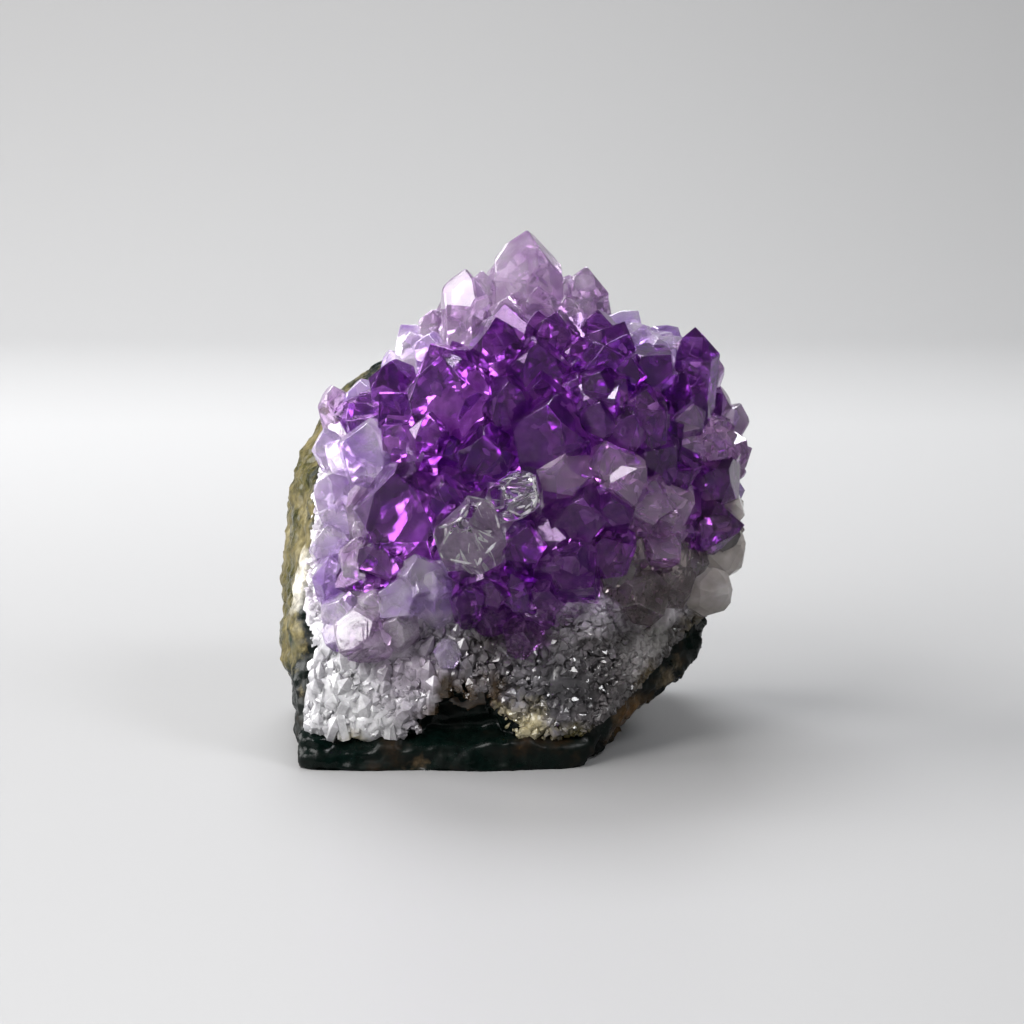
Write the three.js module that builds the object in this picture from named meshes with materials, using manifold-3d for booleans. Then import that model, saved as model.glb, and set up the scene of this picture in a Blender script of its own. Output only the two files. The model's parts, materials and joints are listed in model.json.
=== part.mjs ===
// Amethyst cluster: a broken piece of geode wall that stands on a flat of its own rind.
// Three layers grew one on another: a dark basalt rind, a crust of grey-white quartz, and a druse of
// amethyst points. Two clear quartz points and three small points grew apart from the druse.
// Millimetres, +Z up, the druse faces -Y. The origin is the middle of the base.
import * as THREE from "three";
import { ConvexGeometry } from "three/addons/geometries/ConvexGeometry.js";
import { mergeVertices } from "three/addons/utils/BufferGeometryUtils.js";
import Module from "manifold-3d";

const wasm = await Module();
wasm.setup();
const rad = THREE.MathUtils.degToRad;

// ---- driving dimensions ----------------------------------------------------------------------
const HEART = new THREE.Vector3(0.14, 3.84, 30); // the point that both rock bodies are measured from
const GAP = 0.35; // between layers that touch
const SKIN = 1.8; // the purple base that all the points of the druse grow from
const CORNER = 26; // how sharply the flats of a rock meet: higher is sharper
const FACE_SLOPE = rad(51.8); // a quartz tip face, from the plane across the point
const ROOT = 3.5; // how deep a point's root goes into the crust
const LEAST_DETAIL = 0.08; // corners closer than this to their neighbours' plane are merged
const UNEVEN = [0.04, 0.26]; // how far every other tip face stands back, in widths
const TIP_CHANCE = 0.06; // how far any tip face may stand back besides, in widths
const PRISM_CHANCE = [0.86, 1.12]; // how far a prism face stands out, in half widths
const TABLE = { side: 200, deep: 40 }; // the block that levels the base
const BALL_FACES = [14, 9]; // round and up a rounded body
const SAME_PLACE = 1e-4; // corners closer than this are one
const INSIDE = 1e-6; // how far out a corner may be and still count as inside
const SEEDS = { druse: 100, outOfSight: 200, clear: 20, lone: 40 };
const DRUSE_FOOT = { at: [0, -18.2, 19.5], out: [-0.15, 0.1, 1] }; // the druse grows above this plane

const BASALT = { color: 0x23291c, roughness: 0.75, metalness: 0 };
const QUARTZ = { color: 0xb9b4b6, roughness: 0.5, metalness: 0 };
const AMETHYST = { color: 0x5b2a86, roughness: 0.12, metalness: 0 };
const CLEAR = { color: 0xe6e3e8, roughness: 0.05, metalness: 0 };
const LILAC = { color: 0x9c86b8, roughness: 0.1, metalness: 0 };

// ---- rock bodies -----------------------------------------------------------------------------
// Each rock is a rounded block of flats. A flat has its outward direction and how far the crust and the
// rind reach from HEART along it. The crust stands a little proud where the wall is broken, at the front
// and the top; the rind wraps it at the foot, the left and the back.
const FLATS = [
  { face: "front", out: [0, -1, 0.15], crust: 18.8, rind: 18.1 },
  { face: "front slope", out: [0, -0.57, 0.82], crust: 22.5, rind: 21.5 },
  { face: "front left", out: [-0.48, -0.77, 0.4], crust: 20.8, rind: 20.2 },
  { face: "front right", out: [0.66, -0.75, 0.05], crust: 22.4, rind: 21.6 },
  { face: "top", out: [0, 0.1, 1], crust: 28, rind: 27 },
  { face: "top left", out: [-0.6, -0.25, 0.76], crust: 21.6, rind: 21.2 },
  { face: "top right", out: [0.4, -0.2, 0.89], crust: 25.6, rind: 24.6 },
  { face: "right, upper", out: [0.93, 0, 0.33], crust: 28.6, rind: 27.4 },
  { face: "right", out: [1, 0, 0], crust: 29.6, rind: 25.4 },
  { face: "right underside", out: [0.61, 0, -0.79], crust: 26.5, rind: 29.8 },
  { face: "underside", out: [0, 0, -1], crust: 27, rind: 34 },
  { face: "left", out: [-1, 0, 0], crust: 27.2, rind: 34 },
  { face: "left, upper", out: [-0.94, -0.2, 0.2], crust: 33, rind: 28.6 },
  { face: "left, lower", out: [-0.97, -0.1, -0.17], crust: 36, rind: 34.2 },
  { face: "back", out: [0, 1, 0.1], crust: 12, rind: 20.5 },
  { face: "back left", out: [-0.76, 0.65, 0], crust: 36, rind: 32 },
  { face: "back right", out: [0.7, 0.7, 0.1], crust: 36, rind: 30 },
  { face: "back top", out: [0, 0.6, 0.8], crust: 34, rind: 27.5 },
  { face: "back underside", out: [0, 0.75, -0.66], crust: 36, rind: 32 },
];
const LUMPS = { seed: 11, height: 0.45, across: 12, count: 12 };
const ROCK_DETAIL = 6;

// A hollow at the foot of the crust, where a knob of the rind shows.
const HOLLOW = { at: [-6.9, -20.6, 5], size: [6, 5, 6] };
const KNOB = { at: [-6.9, -12.8, 3.5], size: [8, 5, 7.5] };

// ---- where the points stand ------------------------------------------------------------------
// The points are set out as they are seen from the front and a little above.
const EYE = new THREE.Vector3(-0.26, -332.96, 89);
const SEEN_MIDDLE = new THREE.Vector3(-0.26, 1.84, 30);

// at: across and up from the middle, where the point leaves the crust.
// tip: how far its tip is seen across and up from there.
// tall and wide: the point's own size above the crust. turn: degrees about its own axis.
const DRUSE = [
  // the summit
  { at: [2.4, 25.4], tip: [-0.4, 12.1], tall: 12.8, wide: 9.6, turn: 0 },
  { at: [9.5, 25.4], tip: [0.4, 7.2], tall: 8.5, wide: 5.8, turn: 20 },
  { at: [-6.1, 22.7], tip: [-0.3, 9.7], tall: 10.5, wide: 6.8, turn: 10 },
  { at: [-3.7, 24.8], tip: [-0.3, 7.4], tall: 8.5, wide: 4.2, turn: 33 },
  { at: [3.4, 24.8], tip: [0, 5.4], tall: 8, wide: 6.5, turn: 40 },
  { at: [7.2, 24.1], tip: [0, 4.7], tall: 6.5, wide: 4.5, turn: 52 },
  // the upper left edge
  { at: [-10.2, 22.7], tip: [-0.5, 4.5], tall: 6, wide: 4, turn: 5 },
  { at: [-15.4, 18.2], tip: [-0.9, 3.6], tall: 5, wide: 3.4, turn: 50 },
  { at: [-15.2, 12.5], tip: [-0.7, 7.1], tall: 10, wide: 6.6, turn: 8 },
  { at: [-19.7, 12.5], tip: [-0.6, 5], tall: 7.5, wide: 4.8, turn: 25 },
  { at: [-23.1, 11.8], tip: [-0.9, 5.2], tall: 7, wide: 4.6, turn: 45 },
  // the left side
  { at: [-19, 5.7], tip: [-0.4, 5.7], tall: 9.5, wide: 7.8, turn: 18 },
  { at: [-23.5, -0.4], tip: [-1, 5], tall: 7.5, wide: 5, turn: 0 },
  { at: [-19.7, -3.1], tip: [-0.6, 6.4], tall: 8.5, wide: 4.6, turn: 55 },
  { at: [-20.5, -10.6], tip: [-0.3, 6.8], tall: 8.5, wide: 5.4, turn: 14 },
  { at: [-23.8, -10.6], tip: [-0.7, 4.1], tall: 6, wide: 4.5, turn: 40 },
  { at: [-22.4, -14], tip: [-0.7, 2], tall: 5, wide: 5.5, turn: 0 },
  { at: [-17.3, -7.9], tip: [-0.2, 3.4], tall: 8, wide: 6, turn: 10 },
  // the upper middle
  { at: [-7.2, 11.2], tip: [-2.2, 8.9], tall: 12, wide: 10, turn: 6 },
  { at: [-10.6, 5], tip: [-0.4, 7.4], tall: 11, wide: 4.8, turn: 22 },
  { at: [-2, 18.6], tip: [-0.4, 6.8], tall: 9.5, wide: 7, turn: 48 },
  { at: [-3.8, 6.4], tip: [0, 3.4], tall: 9, wide: 8.5, turn: 30 },
  { at: [6.1, 20.7], tip: [0, 5.7], tall: 8, wide: 6, turn: 15 },
  { at: [3.4, 17.2], tip: [0, 5.1], tall: 8.5, wide: 7.5, turn: 35 },
  { at: [11.5, 21.3], tip: [0, 5.3], tall: 7.5, wide: 5.5, turn: 22 },
  { at: [12.1, 17.2], tip: [0, 4.6], tall: 8, wide: 6, turn: 50 },
  { at: [11.5, 14.5], tip: [0.4, 3.8], tall: 8, wide: 5.5, turn: 5 },
  { at: [-0.7, 12.5], tip: [0, 4.4], tall: 8.5, wide: 6.5, turn: 42 },
  // the upper right edge
  { at: [17, 20], tip: [0.7, 5], tall: 6, wide: 5, turn: 28 },
  { at: [19, 18], tip: [0.7, 5], tall: 8, wide: 5.6, turn: 55 },
  { at: [23.8, 15.2], tip: [0.5, 9], tall: 10.5, wide: 6.6, turn: 30 },
  { at: [26.8, 11.2], tip: [1.1, 5.4], tall: 7, wide: 4.8, turn: 10 },
  { at: [25.4, 14.6], tip: [2.1, 6.4], tall: 7.5, wide: 3.8, turn: 38 },
  { at: [22.5, 9.8], tip: [0.5, 4.9], tall: 8, wide: 5.6, turn: 50 },
  { at: [17, 9.8], tip: [0.7, 6.1], tall: 9.5, wide: 6.5, turn: 20 },
  // the right side
  { at: [27.8, 9], tip: [3.1, 5.6], tall: 7, wide: 5, turn: 45 },
  { at: [26.2, 5.7], tip: [0.6, 4.6], tall: 8, wide: 7, turn: 33 },
  { at: [25.8, 3.7], tip: [2.8, 2], tall: 8, wide: 7.5, turn: 8 },
  { at: [27.5, 0.3], tip: [2.8, 1.3], tall: 6, wide: 6, turn: 40 },
  { at: [27.5, -5.2], tip: [3.5, 1.4], tall: 5.5, wide: 7, turn: 24 },
  { at: [26, -10.6], tip: [3.5, 0], tall: 5, wide: 6.5, turn: 44 },
  { at: [22.8, -1.1], tip: [0.3, 4.1], tall: 7, wide: 5.5, turn: 0 },
  { at: [18.4, 3.7], tip: [0.2, 3.6], tall: 7.5, wide: 6, turn: 36 },
  { at: [17.4, -1.1], tip: [1.6, 4.9], tall: 9, wide: 6.5, turn: 14 },
  { at: [14.3, -7.9], tip: [0, 3.4], tall: 6, wide: 6.5, turn: 27 },
  { at: [21.1, -7.2], tip: [-0.3, 4.1], tall: 6.5, wide: 6.5, turn: 50 },
  // the middle
  { at: [5.4, 8.4], tip: [-0.9, 5.2], tall: 10.5, wide: 9.5, turn: 9 },
  { at: [4.5, 14.5], tip: [-0.4, 2.9], tall: 7, wide: 7.5, turn: 31 },
  { at: [7.2, 3.7], tip: [-0.4, 3.1], tall: 9, wide: 7.5, turn: 16 },
  { at: [13.2, 4.4], tip: [-0.3, 3.8], tall: 8, wide: 5.8, turn: 47 },
  { at: [11.8, 9.8], tip: [0, 4.3], tall: 8, wide: 6, turn: 3 },
  { at: [8.8, -1.8], tip: [0.7, 3.4], tall: 8.5, wide: 8, turn: 21 },
  { at: [8.4, -7.6], tip: [0, 1.6], tall: 8, wide: 6, turn: 0 },
  { at: [1, -7.2], tip: [0.8, 4.8], tall: 9, wide: 6, turn: 29 },
  { at: [-13.2, -2.4], tip: [-1.8, 7], tall: 12.5, wide: 12, turn: 24 },
  { at: [-9.1, -2.4], tip: [0, 5.7], tall: 11, wide: 6.5, turn: 44 },
  // the foot
  { at: [-10.2, -12.6], tip: [-0.3, 4.4], tall: 7.5, wide: 4.6, turn: 0 },
  { at: [-5.7, -13], tip: [-0.1, 3.1], tall: 7, wide: 5, turn: 36 },
  { at: [-2.7, -12], tip: [-0.2, 2.8], tall: 6.5, wide: 4.6, turn: 14 },
  { at: [4.5, -11.5], tip: [0.4, 1], tall: 6, wide: 5.2, turn: 18 },
];

// Points of the druse that are out of sight from the front: over the top, and round the right side.
const OUT_OF_SIGHT = [
  { way: [0.02, 0.16, 1], tall: 8, wide: 8, turn: 10 },
  { way: [0.3, 0.24, 1], tall: 4, wide: 6.5, turn: 40 },
  { way: [-0.27, 0.26, 1], tall: 5.5, wide: 6.8, turn: 25 },
  { way: [-0.62, 0.12, 1], tall: 5.5, wide: 6, turn: 50 },
  { way: [0.62, 0.12, 1], tall: 4.5, wide: 6.5, turn: 5 },
  { way: [0.8, 0.28, 0.85], tall: 5, wide: 6, turn: 33 },
  { way: [1, 0.22, 0.4], tall: 3.5, wide: 6.5, turn: 15 },
  { way: [1, -0.1, 0.28], tall: 4, wide: 7, turn: 45 },
  { way: [1, 0.16, 0.05], tall: 3.2, wide: 6.5, turn: 28 },
  { way: [1, -0.2, -0.05], tall: 3.4, wide: 7, turn: 8 },
];

// Two colourless points in the middle of the druse.
const CLEAR_POINTS = [
  { name: "clear_point_lower", at: [-4.1, -5.2], tip: [-2, 4.2], tall: 12.5, wide: 8.6, turn: 10 },
  { name: "clear_point_upper", at: [-3.4, 1.4], tip: [6.4, 1.4], tall: 11.6, wide: 5.6, turn: 38 },
];

// Small points that stand by themselves on the crust, below the druse.
const LONE_POINTS = [
  { name: "violet_point", look: AMETHYST, at: [1.4, -17], tip: [0.2, 1], tall: 5.2, wide: 5.2, turn: 12 },
  { name: "silver_point", look: LILAC, at: [-15.4, -16], tip: [-0.2, 1.6], tall: 5, wide: 4.8, turn: 8 },
  { name: "lilac_point", look: LILAC, at: [-8.8, -19.4], tip: [0, 1], tall: 3.4, wide: 3.6, turn: 25 },
];

// ---- chance ----------------------------------------------------------------------------------
// A run of chance numbers that is the same every time it starts from the same seed.
class Chance {
  constructor(seed) {
    this.state = seed;
  }
  next() {
    this.state = (Math.imul(this.state, 1664525) + 1013904223) >>> 0;
    return this.state / 4294967296;
  }
  between(low, high) {
    return low + (high - low) * this.next();
  }
}

// ---- solids ----------------------------------------------------------------------------------
function solidOf(geometry) {
  const bare = geometry.clone();
  bare.deleteAttribute("normal");
  bare.deleteAttribute("uv");
  const merged = mergeVertices(bare, SAME_PLACE);
  return new wasm.Manifold(
    new wasm.Mesh({
      numProp: 3,
      vertProperties: merged.attributes.position.array,
      triVerts: new Uint32Array(merged.index.array),
    }),
  );
}

function geometryOf(solid) {
  const mesh = solid.getMesh();
  const geometry = new THREE.BufferGeometry()
    .setAttribute("position", new THREE.BufferAttribute(mesh.vertProperties, 3))
    .setIndex(new THREE.BufferAttribute(mesh.triVerts, 1));
  geometry.computeVertexNormals();
  return geometry;
}

// The largest body of a solid, without the crumbs a cut can leave.
function largestBody(solid) {
  return solid.decompose().sort((a, b) => b.volume() - a.volume())[0];
}

// How far a block of flats reaches along a direction, with its edges rounded.
function reach(layer, direction) {
  let sum = 0;
  for (const flat of FLATS) {
    const facing = new THREE.Vector3(...flat.out).normalize().dot(direction);
    if (facing > 0) sum += (facing / flat[layer]) ** CORNER;
  }
  return sum ** (-1 / CORNER);
}

// Low rounded lumps: a sum of waves that run in chance directions.
function lumpsOver({ seed, height, across, count }) {
  const chance = new Chance(seed);
  const waves = Array.from({ length: count }, () => {
    const turn = chance.between(0, 2 * Math.PI);
    const rise = chance.between(-1, 1);
    const level = Math.sqrt(1 - rise * rise);
    const pitch = (2 * Math.PI) / (across * chance.between(0.5, 1.6));
    const way = new THREE.Vector3(level * Math.cos(turn), level * Math.sin(turn), rise);
    return { way: way.multiplyScalar(pitch), phase: chance.between(0, 2 * Math.PI) };
  });
  return (point) => {
    const sum = waves.reduce((s, { way, phase }) => s + Math.sin(way.dot(point) + phase), 0);
    return (height * sum) / Math.sqrt(count / 2);
  };
}

const lump = lumpsOver(LUMPS);

// Where a rock's surface lies, straight out from HEART along a direction.
function surface(layer, direction, grown) {
  const point = direction.clone().multiplyScalar(reach(layer, direction));
  return point.addScaledVector(direction, lump(point) + grown).add(HEART);
}

function rock(layer, grown) {
  const geometry = new THREE.IcosahedronGeometry(1, ROCK_DETAIL);
  const place = geometry.attributes.position;
  for (let i = 0; i < place.count; i++) {
    const direction = new THREE.Vector3().fromBufferAttribute(place, i).normalize();
    place.setXYZ(i, ...surface(layer, direction, grown));
  }
  return geometry;
}

function ball({ at, size }, grown = 0) {
  const geometry = new THREE.SphereGeometry(1, ...BALL_FACES);
  geometry.scale(size[0] + grown, size[1] + grown, size[2] + grown);
  geometry.translate(...at);
  return solidOf(geometry);
}

// ---- quartz points ---------------------------------------------------------------------------
// A quartz point fills the space inside six prism faces, six tip faces and its root. Its tip is at
// [0, 0, tall] and its root is ROOT below 0. Every other tip face stands back, as in real quartz.
function pointFaces(wide, tall, chance) {
  const uneven = chance.between(...UNEVEN);
  const faces = [{ out: new THREE.Vector3(0, 0, -1), far: ROOT }];
  for (let i = 0; i < 6; i++) {
    const side = (i * Math.PI) / 3;
    const across = new THREE.Vector3(Math.cos(side), Math.sin(side), 0);
    faces.push({ out: across, far: (wide / 2) * chance.between(...PRISM_CHANCE) });
    const out = across.clone().multiplyScalar(Math.sin(FACE_SLOPE));
    out.z = Math.cos(FACE_SLOPE);
    const back = (i % 2) * uneven + chance.between(0, TIP_CHANCE);
    faces.push({ out, far: out.z * tall + back * wide });
  }
  return faces;
}

function cornersInside(faces) {
  const corners = [];
  const solve = new THREE.Matrix3();
  for (let a = 0; a < faces.length; a++)
    for (let b = a + 1; b < faces.length; b++)
      for (let c = b + 1; c < faces.length; c++) {
        const [p, q, r] = [faces[a], faces[b], faces[c]];
        solve.set(...p.out.toArray(), ...q.out.toArray(), ...r.out.toArray());
        if (Math.abs(solve.determinant()) < INSIDE) continue;
        const corner = new THREE.Vector3(p.far, q.far, r.far).applyMatrix3(solve.invert());
        if (faces.every(({ out, far }) => out.dot(corner) < far + INSIDE)) corners.push(corner);
      }
  return corners;
}

// A point on its root along a way, grown all round by a gap if one is asked for.
function quartzPoint(root, way, { tall, wide, turn }, chance, grown = 0) {
  const faces = pointFaces(wide, tall, chance).map(({ out, far }) => ({ out, far: far + grown }));
  const axis = new THREE.Vector3(0, 0, 1);
  const lean = new THREE.Quaternion().setFromUnitVectors(axis, way.clone().normalize());
  const spin = new THREE.Quaternion().setFromAxisAngle(axis, rad(turn));
  const place = (corner) => corner.applyQuaternion(spin).applyQuaternion(lean).add(root);
  return solidOf(new ConvexGeometry(cornersInside(faces).map(place)));
}

// A point set out as it is seen from the front.
function seenPoint(ground, spec, chance, grown = 0) {
  const { at, tip, tall } = spec;
  const right = new THREE.Vector3(1, 0, 0);
  const nearer = EYE.clone().sub(SEEN_MIDDLE).normalize();
  const up = nearer.clone().cross(right);
  const seen = SEEN_MIDDLE.clone().addScaledVector(right, at[0]).addScaledVector(up, at[1]);
  const look = new THREE.Raycaster(EYE, seen.sub(EYE).normalize());
  const root = look.intersectObject(ground)[0].point;
  const toward = Math.sqrt(tall * tall - tip[0] * tip[0] - tip[1] * tip[1]);
  const way = right.multiplyScalar(tip[0]).addScaledVector(up, tip[1]).addScaledVector(nearer, toward);
  return quartzPoint(root, way, spec, chance, grown);
}

// A point that stands straight out from HEART.
function outwardPoint(spec, chance) {
  const way = new THREE.Vector3(...spec.way).normalize();
  return quartzPoint(surface("crust", way, 0), way, spec, chance);
}

// ---- the pieces ------------------------------------------------------------------------------
const crustGeometry = rock("crust", 0);
const crustRock = solidOf(crustGeometry);
const crustGrown = solidOf(rock("crust", GAP));
const rindGrown = solidOf(rock("rind", GAP));
const ground = new THREE.Mesh(crustGeometry, new THREE.MeshStandardMaterial());

const table = solidOf(
  new THREE.BoxGeometry(TABLE.side, TABLE.side, TABLE.deep).translate(0, 0, -TABLE.deep / 2),
);
const rindRock = solidOf(rock("rind", 0)).subtract(crustGrown);
const rind = rindRock.add(ball(KNOB)).subtract(table);
const crust = crustRock.subtract(ball(HOLLOW)).subtract(ball(KNOB, GAP));

// Every point of a list, each with its own run of chance.
function seenPoints(list, seed, grown = 0) {
  return list.map((spec, i) => seenPoint(ground, spec, new Chance(seed + i), grown));
}

const clear = seenPoints(CLEAR_POINTS, SEEDS.clear);
const clearGrown = seenPoints(CLEAR_POINTS, SEEDS.clear, GAP);
const lone = seenPoints(LONE_POINTS, SEEDS.lone);
const loneGrown = seenPoints(LONE_POINTS, SEEDS.lone, GAP);

const footOut = new THREE.Vector3(...DRUSE_FOOT.out).normalize();
const footFar = new THREE.Vector3(...DRUSE_FOOT.at).dot(footOut);
const skin = solidOf(rock("crust", SKIN)).trimByPlane(footOut.toArray(), footFar);
const seen = seenPoints(DRUSE, SEEDS.druse);
const hidden = OUT_OF_SIGHT.map((spec, i) => outwardPoint(spec, new Chance(SEEDS.outOfSight + i)));
const druse = wasm.Manifold.union([skin, ...seen, ...hidden])
  .subtract(crustGrown)
  .subtract(rindGrown)
  .subtract(wasm.Manifold.union([...clearGrown, ...loneGrown]));

// Each piece is one body: what a cut leaves loose is dropped, and needless corners are merged.
function part(name, solid, look) {
  const body = largestBody(largestBody(solid).simplify(LEAST_DETAIL));
  const mesh = new THREE.Mesh(geometryOf(body), new THREE.MeshStandardMaterial(look));
  mesh.name = name;
  return mesh;
}

const cluster = new THREE.Group();
cluster.add(part("rind", rind, BASALT));
cluster.add(part("quartz_crust", crust, QUARTZ));
cluster.add(part("amethyst_druse", druse, AMETHYST));
const [lower, upper] = CLEAR_POINTS;
cluster.add(part(lower.name, clear[0].subtract(crustGrown), CLEAR));
cluster.add(part(upper.name, clear[1].subtract(crustGrown).subtract(clearGrown[0]), CLEAR));
LONE_POINTS.forEach(({ name, look }, i) => {
  cluster.add(part(name, lone[i].subtract(crustGrown), look));
});

export default cluster;
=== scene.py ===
import itertools
import json
import math

import bmesh
import bpy
import numpy as np
from mathutils import Matrix, Vector, noise
from mathutils.bvhtree import BVHTree

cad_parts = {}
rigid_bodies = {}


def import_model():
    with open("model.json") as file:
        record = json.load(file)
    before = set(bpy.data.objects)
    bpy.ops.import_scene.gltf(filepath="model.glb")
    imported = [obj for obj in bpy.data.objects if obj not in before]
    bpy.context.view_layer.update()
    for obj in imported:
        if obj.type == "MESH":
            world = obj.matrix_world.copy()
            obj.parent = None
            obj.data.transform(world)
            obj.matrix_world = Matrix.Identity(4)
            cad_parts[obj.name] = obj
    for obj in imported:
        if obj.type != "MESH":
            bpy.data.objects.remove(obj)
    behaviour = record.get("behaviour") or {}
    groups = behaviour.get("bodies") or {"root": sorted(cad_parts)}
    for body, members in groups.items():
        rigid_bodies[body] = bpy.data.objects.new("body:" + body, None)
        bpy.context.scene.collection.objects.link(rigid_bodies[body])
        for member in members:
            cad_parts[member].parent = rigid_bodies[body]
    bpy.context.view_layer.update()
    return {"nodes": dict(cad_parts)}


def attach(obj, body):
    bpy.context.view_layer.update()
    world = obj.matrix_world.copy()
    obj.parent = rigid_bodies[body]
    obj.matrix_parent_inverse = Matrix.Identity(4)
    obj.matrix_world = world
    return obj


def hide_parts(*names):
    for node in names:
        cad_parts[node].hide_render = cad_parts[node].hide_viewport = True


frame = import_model()

# ---- the rind --------------------------------------------------------------------------------
# The basalt that the geode grew in: a dark green-black rock, olive and brown where it weathered,
# broken all round into small chips. It wraps the quartz at the foot, the left side and the back,
# and the cluster stands on a flat of it.
MM = 0.001
# The middle of the rock body, in millimetres, and how sharply its flats meet.
HEART = np.array([0.14, 3.84, 30.0])
CORNER = 26
# A flat of the rock: its outward direction, then how far the crust and the rind reach along it.
FLATS = [
    ((0, -1, 0.15), 18.8, 18.1),  # front
    ((0, -0.57, 0.82), 22.5, 21.5),  # front slope
    ((-0.48, -0.77, 0.4), 20.8, 20.2),  # front left
    ((0.66, -0.75, 0.05), 22.4, 21.6),  # front right
    ((0, 0.1, 1), 28, 27),  # top
    ((-0.6, -0.25, 0.76), 21.6, 21.2),  # top left
    ((0.4, -0.2, 0.89), 25.6, 24.6),  # top right
    ((0.93, 0, 0.33), 28.6, 27.4),  # right, upper
    ((1, 0, 0), 29.6, 25.4),  # right
    ((0.61, 0, -0.79), 26.5, 29.8),  # right underside
    ((0, 0, -1), 27, 34),  # underside
    ((-1, 0, 0), 27.2, 34),  # left
    ((-0.94, -0.2, 0.2), 33, 28.6),  # left, upper
    ((-0.97, -0.1, -0.17), 36, 34.2),  # left, lower
    ((0, 1, 0.1), 12, 20.5),  # back
    ((-0.76, 0.65, 0), 36, 32),  # back left
    ((0.7, 0.7, 0.1), 36, 30),  # back right
    ((0, 0.6, 0.8), 34, 27.5),  # back top
    ((0, 0.75, -0.66), 36, 32),  # back underside
]
# The size of the small faces of the rock, and how finely the balls behind it are divided.
ROCK_FINENESS = 0.42
BALL_FINENESS = 6


class Chance:
    """The same run of chance numbers every time."""

    def __init__(self, seed):
        self.state = seed

    def next(self):
        self.state = (self.state * 1664525 + 1013904223) % 4294967296
        return self.state / 4294967296

    def between(self, low, high):
        return low + (high - low) * self.next()


def unit(v):
    """A direction, or each of a list of directions, at length 1."""
    v = np.asarray(v, dtype=float)
    return v / np.linalg.norm(v, axis=-1, keepdims=True)


def rock_waves():
    """Low rounded lumps: waves that run in chance directions."""
    chance = Chance(11)
    waves = []
    for _ in range(12):
        turn = chance.between(0, 2 * math.pi)
        upward = chance.between(-1, 1)
        level = math.sqrt(1 - upward * upward)
        pitch = 2 * math.pi / (12 * chance.between(0.5, 1.6))
        way = np.array([level * math.cos(turn), level * math.sin(turn), upward]) * pitch
        waves.append((way, chance.between(0, 2 * math.pi)))
    return waves


WAVES = rock_waves()
LUMP_HEIGHT = 0.45


def rock_surface(layer, directions, grown=0.0):
    """Where the crust (layer 1) or the rind (layer 2) lies along directions out of HEART."""
    total = np.zeros(len(directions))
    for flat in FLATS:
        facing = np.clip(directions @ unit(flat[0]), 0, None)
        total += (facing / flat[layer]) ** CORNER
    points = directions * (total ** (-1 / CORNER))[:, None]
    lump = sum(np.sin(points @ way + phase) for way, phase in WAVES)
    lump *= LUMP_HEIGHT / math.sqrt(len(WAVES) / 2)
    return points + directions * (lump + grown)[:, None] + HEART


def ball_of_directions(fineness):
    """Directions spread evenly all round, and the faces between them."""
    bm = bmesh.new()
    bmesh.ops.create_icosphere(bm, subdivisions=fineness, radius=1)
    directions = unit([v.co[:] for v in bm.verts])
    faces = [[v.index for v in f.verts] for f in bm.faces]
    bm.free()
    return directions, faces


# Without a seed of its own, the tilt of the chips would differ each time.
noise.seed_set(5)


def chipped(point, size, seed):
    """The height of broken rock: every chip is a small flat with its own tilt."""
    spot = Vector(point) / size + Vector((seed, 0, 0))
    centre = noise.voronoi(spot)[1][0]
    tilt = noise.noise_vector(centre * 7.31 + Vector((seed, 3.1, 0)))
    return (spot - centre).dot(tilt)


def mesh_piece(name, points, faces, material, node, smooth=False):
    """A piece of the cluster from corners in millimetres, in place of one of the solids."""
    mesh = bpy.data.meshes.new(name)
    mesh.from_pydata((np.asarray(points) * MM).tolist(), [], faces)
    mesh.materials.append(material)
    mesh.polygons.foreach_set("use_smooth", [smooth] * len(mesh.polygons))
    piece = bpy.data.objects.new(name, mesh)
    bpy.context.scene.collection.objects.link(piece)
    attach(piece, "root")
    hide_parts(node)


def new_material(name, rough):
    """A material with its node tree and its Principled shader."""
    material = bpy.data.materials.new(name)
    material.use_nodes = True
    shader = material.node_tree.nodes["Principled BSDF"]
    shader.inputs["Roughness"].default_value = rough
    return material, material.node_tree, shader


def feed(tree, value, socket):
    """Link a socket, or set a plain value."""
    if isinstance(value, bpy.types.NodeSocket):
        tree.links.new(value, socket)
    elif isinstance(value, tuple) and socket.type == "RGBA":
        socket.default_value = (*value, 1)
    else:
        socket.default_value = value


def shader_group(name, inputs, output, kind):
    """A group of shader nodes with named sockets, and its two ends."""
    group = bpy.data.node_groups.new(name, "ShaderNodeTree")
    for socket_name, socket_kind, value in inputs:
        socket = group.interface.new_socket(socket_name, in_out="INPUT", socket_type=socket_kind)
        socket.default_value = value
    group.interface.new_socket(output, in_out="OUTPUT", socket_type=kind)
    start = group.nodes.new("NodeGroupInput").outputs
    end = group.nodes.new("NodeGroupOutput").inputs
    return group, start, end


def grouped(tree, group, **values):
    """Put a group into a tree and give its sockets their values."""
    node = tree.nodes.new("ShaderNodeGroup")
    node.node_tree = group
    for name, value in values.items():
        feed(tree, value, node.inputs[name])
    return node.outputs[0]


def math_node(tree, operation, a, b):
    node = tree.nodes.new("ShaderNodeMath")
    node.operation = operation
    feed(tree, a, node.inputs[0])
    feed(tree, b, node.inputs[1])
    return node.outputs[0]


def ranged(tree, value, start, end, low=0.0, high=1.0):
    """A value carried from start..end to low..high."""
    node = tree.nodes.new("ShaderNodeMapRange")
    names = ("Value", "From Min", "From Max", "To Min", "To Max")
    for name, given in zip(names, (value, start, end, low, high)):
        feed(tree, given, node.inputs[name])
    return node.outputs["Result"]


def mix_colour(tree, factor, a, b, way="MIX"):
    """One colour laid over another by a factor."""
    node = tree.nodes.new("ShaderNodeMix")
    node.data_type = "RGBA"
    node.blend_type = way
    for socket, value in ((node.inputs[0], factor), (node.inputs[6], a), (node.inputs[7], b)):
        feed(tree, value, socket)
    return node.outputs[2]


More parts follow.
